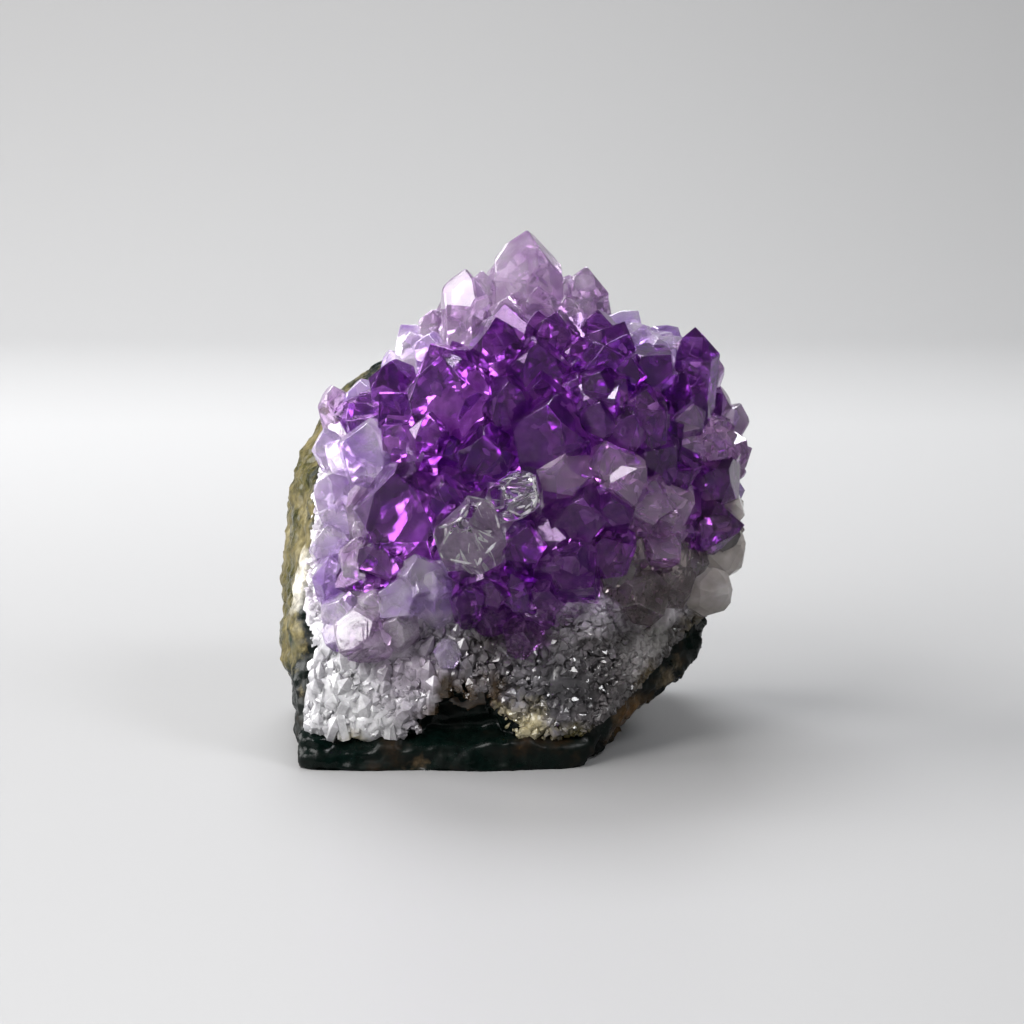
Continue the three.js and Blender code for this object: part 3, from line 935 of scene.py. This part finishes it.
def veils(points, each, seed, keep_off, reaches=(0.1, 0.3), slim=(1, 1), spread=50.0, clearest=()):
    """Thin bent cracks and clouds sealed inside the points, each along its point's axis or across."""
    chance = Chance(seed)
    places, faces = [], []
    for point in points:
        lean = lean_and_turn(point.way, 0)
        others = [p for p in keep_off if p is not point]
        for _ in range(1 if point.tint in clearest else each):
            around = chance.between(0, 2 * math.pi)
            off = chance.between(0, 0.36) * point.wide
            high = chance.between(0.05, 0.8) * point.tall
            along = unit(point.way + spread * np.array([chance.between(-1, 1) for _ in range(3)]))
            beside = [chance.between(-1, 1) for _ in range(3)]
            reach = chance.between(*reaches) * point.wide
            narrow = chance.between(*slim)
            bend = [chance.between(-0.18, 0.18) for _ in range(RIM)]
            ring = [chance.between(0.55, 1.0) for _ in range(RIM)]
            centre = lean @ (off * math.cos(around), off * math.sin(around), high) + point.root
            reach = min(reach, 0.85 * point.depth_of(centre) / max(narrow, 0.4))
            if reach < 0.12 or any(p.depth_of(centre) > -reach for p in others):
                continue
            facing = unit(np.cross(along, beside))
            across = np.cross(facing, along) * reach * narrow
            bend = [b * reach * narrow for b in bend]
            corners, rims = lens(centre, along * reach, across, facing, 0.015 + 0.02 * reach, bend, ring)
            faces += [[i + len(places) for i in face] for face in rims]
            places += corners
    return places, faces


def painted_edge_glints(point, seed):
    """White sheets just inside the edges of a point: painted glints along its edges."""
    chance = Chance(seed)
    places, faces = [], []
    corners = point.corners() - point.root
    on_face = np.abs(corners @ point.outs.T - point.fars) < 1e-4
    for one, other in itertools.combinations(range(len(point.fars)), 2):
        ends = corners[on_face[:, one] & on_face[:, other]]
        share = chance.between(0.3, 0.9)
        wide = chance.between(0.1, 0.34)
        bend = [chance.between(-0.06, 0.06) for _ in range(RIM)]
        ring = [chance.between(0.7, 1.0) for _ in range(RIM)]
        if one == 0 or len(ends) < 2 or np.ptp(ends, axis=0).max() < 1:
            continue
        first, last = ends[0], max(ends, key=lambda end: np.linalg.norm(end - ends[0]))
        inward = -unit(point.outs[one] + point.outs[other])
        centre = (first + last) / 2 + inward * (wide + 0.3) + point.root
        long = (last - first) / 2 * share
        facing = unit(np.cross(long, inward))
        streak, rims = lens(centre, long, inward * wide, facing, 0.04, bend, ring)
        faces += [[i + len(places) for i in face] for face in rims]
        places += streak
    return places, faces


def sugar(point, count, seed):
    """White grains sealed in the low side of a point."""
    shapes = grain_shapes(6)
    chance = Chance(seed)
    places, faces = [], []
    for _ in range(count * 40):
        place = point.root + np.array([chance.between(-1, 1) for _ in range(3)]) * point.tall
        size = chance.between(0.12, 0.42)
        depth = point.depth_of(place)
        from_root = place - point.root
        below = (from_root - point.way * (from_root @ point.way))[2]
        if depth < size or depth > 1.1 or below > -0.12 * point.wide or from_root @ point.way < 1.5:
            continue
        corners, rims = shapes[int(chance.next() * len(shapes))]
        faces += [[i + len(places) for i in face] for face in rims]
        places += list(corners * size / 2 + place)
        if len(places) > count * len(corners):
            break
    return places, faces


def veil_look(name, base, clarity, rough=0.25):
    """The milky or glinting look of what is sealed in a crystal."""
    material, tree, shader = new_material(name, rough)
    dim = tuple(0.6 * c for c in base)
    cloud = grouped(tree, CLOUDS, Scale=900)
    tree.links.new(ramp(tree, cloud, [(0.35, dim), (0.6, base)]), shader.inputs["Base Color"])
    shader.inputs["Transmission Weight"].default_value = clarity
    bump(tree, shader, grouped(tree, CLOUDS, Scale=1500, Detail=3, Roughness=0.5), 0.0001, 0.5)
    return material


CLEAR_LOOK = {
    "clarity": 1,
    "rough": 0.0,
    "dark": (0.98, 0.98, 0.98),
    "light": (1, 1, 1),
    "inside": (0.97, 0.96, 0.98),
    "strength": 10,
    "shine": (1, 1, 1),
    "wavy": 0.1,
}
CRACKS_EACH = 13
SUGAR_GRAINS = 40
WHITE = (1, 1, 1)

clear_points = []
for i, (name, at, tip, tall, wide, turn) in enumerate(CLEAR_POINTS):
    clear_points.append(seen_point(at, tip, tall, wide, turn, Chance(20 + i), "clear"))

clear_tools = []
for point, (name, *_) in zip(clear_points, CLEAR_POINTS):
    thing = object_of(hull_mesh([point.worn(wear=CLEAR_WEAR)], name + "_crystal"))
    cut(thing, [crust_tool] + clear_tools)
    clear_tools.append(object_of(hull_mesh([point.corners(CLEAR_GAP)])))
    finish_crystals(thing, crystal_look(name, CLEAR_LOOK), name)
    shape = {"reaches": (0.25, 0.55), "slim": (0.05, 0.16), "spread": 0.4}
    places, faces = veils([point], CRACKS_EACH, 95, clear_points, **shape)
    material = veil_look(name + " cracks", WHITE, 0.15, 0.1)
    mesh_piece(name + "_cracks", places, faces, material, name)
    # Painted glints: white sheets just inside the edges of each point.
    places, faces = painted_edge_glints(point, 97)
    material = veil_look(name + " edges", WHITE, 0.15, 0.1)
    mesh_piece(name + "_painted_edge_glints", places, faces, material, name)
    places, faces = sugar(point, SUGAR_GRAINS, 96)
    material = veil_look(name + " sugar", WHITE, 0.5, 0.1)
    mesh_piece(name + "_sugar", places, faces, material, name)

# ---- the three lone points -------------------------------------------------------------------
# Three small points that stand by themselves on the crust below the druse: one violet, two lilac.
# They are quartz like the others and grew on the crust one by one, apart from the druse.
LONE_POINTS = [
    ("violet_point", "violet", "amethyst", (1.4, -17), (0.2, 1), 5.2, 5.2, 12),
    ("silver_point", "pale", "lilac_amethyst", (-15.4, -16), (-0.2, 1.6), 5, 4.8, 8),
    ("lilac_point", "lilac", "lilac_amethyst", (-8.8, -19.4), (0, 1), 3.4, 3.6, 25),
]


def tint_look(clarity, rough, dark, light, inside, strength, shine=(1, 1, 1)):
    """What a tint of quartz lets through, how rough its faces are, and its colours."""
    names = ("clarity", "rough", "dark", "light", "inside", "strength", "shine", "wavy")
    return dict(zip(names, (clarity, rough, dark, light, inside, strength, shine, 0.35)))


TINT_LOOKS = {
    "violet": tint_look(
        0.985, 0.1, (0.4, 0.1, 0.58), (0.86, 0.56, 0.93), (0.57, 0.24, 0.67), 170, (0.8, 0.55, 0.92)
    ),
    "deep": tint_look(
        0.985, 0.1, (0.3, 0.06, 0.5), (0.74, 0.38, 0.86), (0.57, 0.18, 0.67), 180, (0.75, 0.45, 0.9)
    ),
    "mauve": tint_look(
        0.92, 0.08, (0.58, 0.34, 0.68), (0.98, 0.86, 0.97), (0.8, 0.5, 0.82), 105, (0.95, 0.85, 1)
    ),
    "lilac": tint_look(
        0.78, 0.12, (0.46, 0.28, 0.7), (1, 0.98, 1), (0.85, 0.68, 0.9), 105, (1, 0.97, 1)
    ),
    "smoky": tint_look(0.92, 0.08, (0.24, 0.2, 0.2), (0.66, 0.61, 0.6), (0.66, 0.58, 0.6), 140),
    "cream": tint_look(0.6, 0.16, (0.5, 0.44, 0.4), (0.88, 0.84, 0.8), (0.88, 0.82, 0.8), 60),
    "pale": tint_look(0.8, 0.1, (0.46, 0.3, 0.52), (0.9, 0.84, 0.92), (0.8, 0.62, 0.84), 100),
}
lone_points = []
lone_tools = []
for i, (name, tint, slot, at, tip, tall, wide, turn) in enumerate(LONE_POINTS):
    point = seen_point(at, tip, tall, wide, turn, Chance(40 + i), tint)
    lone_points.append(point)
    thing = object_of(hull_mesh([point.worn()], name + "_crystal"))
    cut(thing, [crust_tool])
    lone_tools.append(object_of(hull_mesh([point.corners(CLEAR_GAP)])))
    finish_crystals(thing, crystal_look(name, TINT_LOOKS[tint]), name)

# ---- the druse of amethyst -------------------------------------------------------------------
# The points of violet quartz that cover the wall of the geode. They grew outward from the crust and
# into each other. The colour is deepest in the middle of the druse, lilac at the left, smoky at the
# lower right and nearly clear at the summit and the right edge.

# Where a point leaves the crust as seen from the front, how far its tip is seen from there, how tall
# and wide it is, how far it is turned about itself, and its tint.
DRUSE = [
    # the summit
    (2.4, 25.4, -0.4, 12.1, 12.8, 9.6, 0, "pale"),
    (9.5, 25.4, 0.4, 7.2, 8.5, 5.8, 20, "pale"),
    (-6.1, 22.7, -0.3, 9.7, 10.5, 6.8, 10, "pale"),
    (-3.7, 24.8, -0.3, 7.4, 8.5, 4.2, 33, "pale"),
    (3.4, 24.8, 0, 5.4, 8, 6.5, 40, "pale"),
    (7.2, 24.1, 0, 4.7, 6.5, 4.5, 52, "pale"),
    # the upper left edge
    (-10.2, 22.7, -0.5, 4.5, 6, 4, 5, "pale"),
    (-15.4, 18.2, -0.9, 3.6, 5, 3.4, 50, "lilac"),
    (-15.2, 12.5, -0.7, 7.1, 10, 6.6, 8, "violet"),
    (-19.7, 12.5, -0.6, 5, 7.5, 4.8, 25, "lilac"),
    (-23.1, 11.8, -0.9, 5.2, 7, 4.6, 45, "pale"),
    # the left side
    (-19, 5.7, -0.4, 5.7, 9.5, 7.8, 18, "lilac"),
    (-23.5, -0.4, -1, 5, 7.5, 5, 0, "lilac"),
    (-19.7, -3.1, -0.6, 6.4, 8.5, 4.6, 55, "pale"),
    (-20.5, -10.6, -0.3, 6.8, 8.5, 5.4, 14, "pale"),
    (-23.8, -10.6, -0.7, 4.1, 6, 4.5, 40, "lilac"),
    (-22.4, -14, -0.7, 2, 5, 5.5, 0, "lilac"),
    (-17.3, -7.9, -0.2, 3.4, 8, 6, 10, "violet"),
    # the upper middle
    (-7.2, 11.2, -2.2, 8.9, 12, 10, 6, "violet"),
    (-10.6, 5, -0.4, 7.4, 11, 4.8, 22, "violet"),
    (-2, 18.6, -0.4, 6.8, 9.5, 7, 48, "violet"),
    (-3.8, 6.4, 0, 3.4, 9, 8.5, 30, "deep"),
    (6.1, 20.7, 0, 5.7, 8, 6, 15, "violet"),
    (3.4, 17.2, 0, 5.1, 8.5, 7.5, 35, "deep"),
    (11.5, 21.3, 0, 5.3, 7.5, 5.5, 22, "violet"),
    (12.1, 17.2, 0, 4.6, 8, 6, 50, "deep"),
    (11.5, 14.5, 0.4, 3.8, 8, 5.5, 5, "violet"),
    (-0.7, 12.5, 0, 4.4, 8.5, 6.5, 42, "deep"),
    # the upper right edge
    (17, 20, 0.7, 5, 6, 5, 28, "lilac"),
    (19, 18, 0.7, 5, 8, 5.6, 55, "lilac"),
    (23.8, 15.2, 0.5, 9, 10.5, 6.6, 30, "violet"),
    (26.8, 11.2, 1.1, 5.4, 7, 4.8, 10, "mauve"),
    (25.4, 14.6, 2.1, 6.4, 7.5, 3.8, 38, "pale"),
    (22.5, 9.8, 0.5, 4.9, 8, 5.6, 50, "mauve"),
    (17, 9.8, 0.7, 6.1, 9.5, 6.5, 20, "violet"),
    # the right side
    (27.8, 9, 3.1, 5.6, 7, 5, 45, "pale"),
    (26.2, 5.7, 0.6, 4.6, 8, 7, 33, "mauve"),
    (25.8, 3.7, 2.8, 2, 8, 7.5, 8, "violet"),
    (27.5, 0.3, 2.8, 1.3, 6, 6, 40, "cream"),
    (27.5, -5.2, 3.5, 1.4, 5.5, 7, 24, "cream"),
    (26, -10.6, 3.5, 0, 5, 6.5, 44, "cream"),
    (22.8, -1.1, 0.3, 4.1, 7, 5.5, 0, "violet"),
    (18.4, 3.7, 0.2, 3.6, 7.5, 6, 36, "violet"),
    (17.4, -1.1, 1.6, 4.9, 9, 6.5, 14, "mauve"),
    (14.3, -7.9, 0, 3.4, 6, 6.5, 27, "smoky"),
    (21.1, -7.2, -0.3, 4.1, 6.5, 6.5, 50, "smoky"),
    # the middle
    (5.4, 8.4, -0.9, 5.2, 10.5, 9.5, 9, "deep"),
    (4.5, 14.5, -0.4, 2.9, 7, 7.5, 31, "deep"),
    (7.2, 3.7, -0.4, 3.1, 9, 7.5, 16, "mauve"),
    (13.2, 4.4, -0.3, 3.8, 8, 5.8, 47, "mauve"),
    (11.8, 9.8, 0, 4.3, 8, 6, 3, "violet"),
    (8.8, -1.8, 0.7, 3.4, 8.5, 8, 21, "violet"),
    (8.4, -7.6, 0, 1.6, 8, 6, 0, "violet"),
    (1, -7.2, 0.8, 4.8, 9, 6, 29, "deep"),
    (-13.2, -2.4, -1.8, 7, 12.5, 12, 24, "violet"),
    (-9.1, -2.4, 0, 5.7, 11, 6.5, 44, "deep"),
    # the foot
    (-10.2, -12.6, -0.3, 4.4, 7.5, 4.6, 0, "lilac"),
    (-5.7, -13, -0.1, 3.1, 7, 5, 36, "deep"),
    (-2.7, -12, -0.2, 2.8, 6.5, 4.6, 14, "violet"),
    (4.5, -11.5, 0.4, 1, 6, 5.2, 18, "violet"),
]
# Points over the top and round the right side: the way out of HEART, height, width and turn.
OUT_OF_SIGHT = [
    ((0.02, 0.16, 1), 8, 8, 10, "pale"),
    ((0.3, 0.24, 1), 4, 6.5, 40, "pale"),
    ((-0.27, 0.26, 1), 5.5, 6.8, 25, "pale"),
    ((-0.62, 0.12, 1), 5.5, 6, 50, "lilac"),
    ((0.62, 0.12, 1), 4.5, 6.5, 5, "lilac"),
    ((0.8, 0.28, 0.85), 5, 6, 33, "lilac"),
    ((1, 0.22, 0.4), 3.5, 6.5, 15, "lilac"),
    ((1, -0.1, 0.28), 4, 7, 45, "mauve"),
    ((1, 0.16, 0.05), 3.2, 6.5, 28, "lilac"),
    ((1, -0.2, -0.05), 3.4, 7, 8, "smoky"),
]
# Small points that are too fine for the solid: as in the druse's list, without the tint.
SMALL_POINTS = [
    (-0.4, 24.1, 0, 4.7, 7, 5, 15),
    (-11, 18.6, -0.3, 5.1, 7.5, 4.2, 12),
    (-18.5, -13, 0, 2, 5, 4.5, 22),
    (-5.5, -8, 0, 1, 6.5, 6, 48),
    (12.8, -1.5, 0.4, 3, 7, 5.5, 42),
    (-12.5, -9.5, 0, 3, 7, 5.5, 52),
    (15.6, 15.9, 0.3, 4.5, 7.5, 5, 12),
    (-23.8, 7, -1.4, 3.5, 6, 4.2, 33),
    (-23.8, -6.5, -1.4, 4.1, 6, 5, 25),
    (-12.2, 19, -1.4, 5.1, 6.5, 5.2, 30),
]
# The order in which the tints are cut apart, and the seam left between them.
TINTS = ["violet", "deep", "mauve", "lilac", "smoky", "cream", "pale"]
SEAM = 0.04

points_of_druse = []
for i, (x, y, dx, dy, tall, wide, turn, tint) in enumerate(DRUSE):
    points_of_druse.append(seen_point((x, y), (dx, dy), tall, wide, turn, Chance(100 + i), tint))
for i, (way, tall, wide, turn, tint) in enumerate(OUT_OF_SIGHT):
    root = rock_surface(1, unit(way)[None])[0]
    points_of_druse.append(Point(root, way, tall, wide, turn, Chance(200 + i), tint))
for i, (x, y, dx, dy, tall, wide, turn) in enumerate(SMALL_POINTS):
    point = seen_point((x, y), (dx, dy), tall, wide, turn, Chance(300 + i), "violet")
    nearest = min(points_of_druse, key=lambda p: np.linalg.norm(p.root - point.root))
    point.tint = nearest.tint
    points_of_druse.append(point)


# The outline of the druse from the front: how high it reaches, from left to right.
OUTLINE_ACROSS = (-26.8, -25.4, -17.2, -14.5, -9.8, -5.7, 3.1, 6.5, 12.6, 14, 24.2, 28.5, 32)
OUTLINE_UP = (5, 16.3, 18.6, 22.7, 28.8, 32.6, 37.6, 34.9, 29.5, 26.1, 24, 17.2, 9)


def past_outline(place):
    """Whether a place reaches past the outline of the druse as seen from the front."""
    nearer = unit(EYE - SEEN_MIDDLE)
    seen = (place - EYE) * np.linalg.norm(EYE - SEEN_MIDDLE) / ((EYE - place) @ nearer)
    across = seen[0]
    up = seen @ np.cross(nearer, (1, 0, 0))
    if across < OUTLINE_ACROSS[0] or across > OUTLINE_ACROSS[-1]:
        return True
    return up > np.interp(across, OUTLINE_ACROSS, OUTLINE_UP)


FILL_COUNT = 150
FILL_WIDTHS = (3.8, 7.2)
FILL_SHARES = (1, 0.75, 0.55)
# How far out the tips may reach to the sides, the back and the top, and how far they must stand
# clear of the larger points.
FILL_LIMITS = (32, 26, 66)
FILL_CLEAR = 0.35


def fill_points(count):
    """Small points wherever the larger ones leave room, smaller along the outline."""
    chance = Chance(51)
    filled = 0
    for _ in range(count * 60):
        way = unit([chance.between(-1, 1), chance.between(-1, 0.8), chance.between(-0.7, 1)])
        wide = chance.between(*FILL_WIDTHS)
        tall = wide * chance.between(0.75, 1.15)
        lean = np.array([chance.between(-0.35, 0.35) for _ in range(3)])
        turn = chance.between(0, 60)
        seed = int(chance.next() * 10000)
        root = bare_crust(way)
        if root is None or root @ FOOT_OUT < FOOT_FAR + 1.4:
            continue
        for share in FILL_SHARES:
            point = Point(root, way + lean, tall * share, wide * share, turn, Chance(seed), "violet")
            tip = root + point.way * point.tall
            if not past_outline(tip):
                break
        else:
            continue
        if max(p.depth_of(tip) for p in points_of_druse + clear_points + lone_points) > -FILL_CLEAR:
            continue
        if abs(tip[0]) > FILL_LIMITS[0] or tip[1] > FILL_LIMITS[1] or tip[2] > FILL_LIMITS[2]:
            continue
        nearest = min(points_of_druse, key=lambda p: np.linalg.norm(p.root - root))
        point.tint = nearest.tint
        points_of_druse.append(point)
        filled += 1
        if filled == count:
            break


fill_points(FILL_COUNT)

# How far the edges are worn where more than a hair: the crystals at the right edge are rounded.
WEAR = {"cream": 0.95, "pale": 0.3, "lilac": 0.16, "smoky": 0.2}

earlier = []
for tint in TINTS:
    of_tint = [p for p in points_of_druse if p.tint == tint]
    thing = union_of([p.worn(wear=WEAR.get(tint, EDGE_WEAR)) for p in of_tint], f"druse_{tint}")
    cut(thing, [crust_tool, rind_tool] + earlier + clear_tools + lone_tools)
    material = crystal_look(f"{tint} amethyst", TINT_LOOKS[tint])
    finish_crystals(thing, material, "amethyst_druse")
    earlier.append(union_of([p.corners(SEAM) for p in of_tint], f"tool_{tint}"))

VEILS_EACH = 2
CLEAREST_TINTS = ("violet", "deep")

apart = clear_points + lone_points
places, faces = veils(points_of_druse, VEILS_EACH, 91, apart, clearest=CLEAREST_TINTS)
milky = veil_look("milky veils", (0.8, 0.62, 0.92), 0.5)
mesh_piece("druse_veils", places, faces, milky, "amethyst_druse")

for tool in earlier + clear_tools + lone_tools + [crust_tool, rind_tool]:
    bpy.data.objects.remove(tool)

# ---- the table and the light -----------------------------------------------------------------
# A pale table that curves up into a pale wall, painted paler toward the back as painted light. Soft
# light comes from a window at the front left, a broad bright side at the left, the sky behind and
# above, and a small window at the right.

TABLE_FRONT = -0.4
TABLE_HALF_WIDTH = 2
BEND_START = 0.5
BEND = 0.3
BEND_STEPS = 24
WALL_TOP = 2.0


def swept_table():
    """A pale table that curves up into a pale wall, painted paler toward the back."""
    profile = [(TABLE_FRONT, 0.0), (0.2, 0.0), (BEND_START, 0.0)]
    for i in range(1, BEND_STEPS + 1):
        a = math.pi / 2 * i / BEND_STEPS
        profile.append((BEND_START + BEND * math.sin(a), BEND - BEND * math.cos(a)))
    profile.append((BEND_START + BEND, WALL_TOP))
    corners = [(x, y, z) for y, z in profile for x in (-TABLE_HALF_WIDTH, TABLE_HALF_WIDTH)]
    faces = [[2 * i, 2 * i + 1, 2 * i + 3, 2 * i + 2] for i in range(len(profile) - 1)]
    mesh = bpy.data.meshes.new("table")
    mesh.from_pydata(corners, [], faces)
    mesh.polygons.foreach_set("use_smooth", [True] * len(faces))
    material, tree, shader = new_material("pale table", 0.4)
    # Painted light: the table grows paler toward the back and is palest on the wall.
    shades = [(0, (0.29, 0.288, 0.29)), (1, (0.42, 0.418, 0.42))]
    tone_and_painted_back_light = ramp(tree, rise(tree, (0, 1, 0), 30, 300), shades)
    tree.links.new(tone_and_painted_back_light, shader.inputs["Base Color"])
    shader.inputs["Specular IOR Level"].default_value = 0.3
    mesh.materials.append(material)
    thing = object_of(mesh)


swept_table()


def room():
    """A room that is bright at the left, behind and overhead, and dim behind the onlooker."""
    world = bpy.data.worlds.new("room")
    bpy.context.scene.world = world
    world.use_nodes = True
    tree = world.node_tree
    where = tree.nodes.new("ShaderNodeTexCoord")
    toward = tree.nodes.new("ShaderNodeVectorMath")
    toward.operation = "DOT_PRODUCT"
    toward.inputs[1].default_value = (-0.6, 0.6, 0.05)
    tree.links.new(where.outputs["Generated"], toward.inputs[0])
    strength = ranged(tree, toward.outputs["Value"], -0.6, 0.7, 0.04, 0.6)
    tree.links.new(strength, tree.nodes["Background"].inputs["Strength"])
    tree.nodes["Background"].inputs["Color"].default_value = (0.96, 0.98, 1.0, 1)


room()


# The place on the cluster that the lamps aim at.
LIT_PLACE = (0, 0, 0.03)


def soft_light(name, place, width, height, power, colour):
    """A lamp the shape of a window, aimed at the cluster."""
    lamp = bpy.data.lights.new(name, "AREA")
    lamp.shape = "RECTANGLE"
    lamp.size = width
    lamp.size_y = height
    lamp.energy = power
    lamp.color = colour
    thing = bpy.data.objects.new(name, lamp)
    thing.location = place
    thing.rotation_euler = (Vector(LIT_PLACE) - Vector(place)).to_track_quat("-Z", "Y").to_euler()
    bpy.context.scene.collection.objects.link(thing)


soft_light("window", (-0.32, -0.34, 0.36), 0.22, 0.32, 2.4, (1, 0.99, 0.98))
soft_light("side window", (0.3, -0.2, 0.4), 0.1, 0.16, 1.0, (0.97, 0.98, 1))
soft_light("left", (-0.75, 0.05, 0.4), 0.6, 0.6, 9.5, (1, 0.99, 0.98))
soft_light("sky", (-0.08, 0.34, 0.55), 0.36, 0.26, 3.4, (0.96, 0.98, 1))

scene = bpy.context.scene
scene.view_settings.view_transform = "Standard"
scene.view_settings.exposure = 0.32
scene.cycles.max_bounces = 16
scene.cycles.transmission_bounces = 16
scene.cycles.glossy_bounces = 8
scene.cycles.caustics_refractive = True

camera_data = bpy.data.cameras.new("camera")
camera = bpy.data.objects.new("camera", camera_data)
scene.collection.objects.link(camera)
scene.camera = camera
camera_data.lens = 88
camera_data.sensor_width = 36
camera_data.clip_start = 0.01
camera.location = Vector(EYE) * MM
camera.rotation_euler = (Vector(SEEN_MIDDLE) - Vector(EYE)).to_track_quat("-Z", "Y").to_euler()
